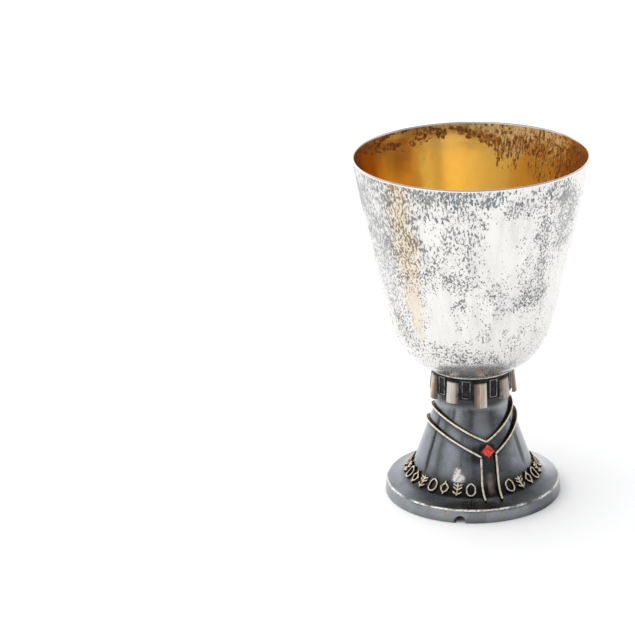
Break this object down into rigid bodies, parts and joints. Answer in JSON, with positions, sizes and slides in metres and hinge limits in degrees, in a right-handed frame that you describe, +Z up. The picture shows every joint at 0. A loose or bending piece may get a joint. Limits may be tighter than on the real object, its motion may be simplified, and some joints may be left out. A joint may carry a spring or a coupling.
{
  "type": "communion chalice",
  "caption": "Footed silver communion cup with a gilt inside, a collar of banded stone bars and an oxidised conical foot with gold wire bands and a red stone.",
  "frame": {"origin": "centre of the foot, on the table plane", "axes": "+Z up along the cup's axis, -Y towards the front, where the red stone is, +X to the right seen from the front"},
  "size_m": [0.112, 0.112, 0.17],
  "materials": {
    "silver": "polished silver, speckled with grey tarnish outside, gilt inside",
    "seat_silver": "polished silver edge",
    "dark_silver": "blackened silver",
    "foot_silver": "oxidised silver, satin, blue-grey",
    "band_silver": "oxidised silver, satin, with a worn bright edge",
    "frame_wire": "oxidised silver wire with worn edges",
    "gilt_wire": "gilt wire, bright on its edge and dark on its sides",
    "banded_stone": "polished banded stone, taupe with cream and brown streaks",
    "red_gem": "polished red carnelian, opaque",
    "steel": "turned steel",
    "brass": "plain brass"
  },
  "bodies": {
    "root": {"cup_shell": "silver", "cup_seat": "seat_silver", "cup_stud": "steel", "collar_drum": "dark_silver", "stone_bar_1": "banded_stone", "stone_bar_2": "banded_stone", "stone_bar_3": "banded_stone", "stone_bar_4": "banded_stone", "stone_bar_5": "banded_stone", "stone_bar_6": "banded_stone", "stone_bar_7": "banded_stone", "stone_bar_8": "banded_stone", "stone_bar_9": "banded_stone", "niche_frame_1": "frame_wire", "niche_frame_2": "frame_wire", "niche_frame_3": "frame_wire", "niche_frame_4": "frame_wire", "niche_frame_5": "frame_wire", "niche_frame_6": "frame_wire", "niche_frame_7": "frame_wire", "niche_frame_8": "frame_wire", "niche_frame_9": "frame_wire", "foot_cone": "foot_silver", "foot_top_plate": "foot_silver", "foot_band": "band_silver", "upper_wire_left": "gilt_wire", "upper_wire_right": "gilt_wire", "lower_wire_left": "gilt_wire", "lower_wire_right": "gilt_wire", "front_upright_left": "gilt_wire", "front_upright_right": "gilt_wire", "back_upright_left": "gilt_wire", "back_upright_right": "gilt_wire", "red_stone": "red_gem", "stone_bezel": "dark_silver", "leaf_wires": "gilt_wire", "ear_wires": "gilt_wire", "lozenge_wires": "gilt_wire", "retaining_washer": "steel", "retaining_nut": "brass"}
  },
  "joints": []
}
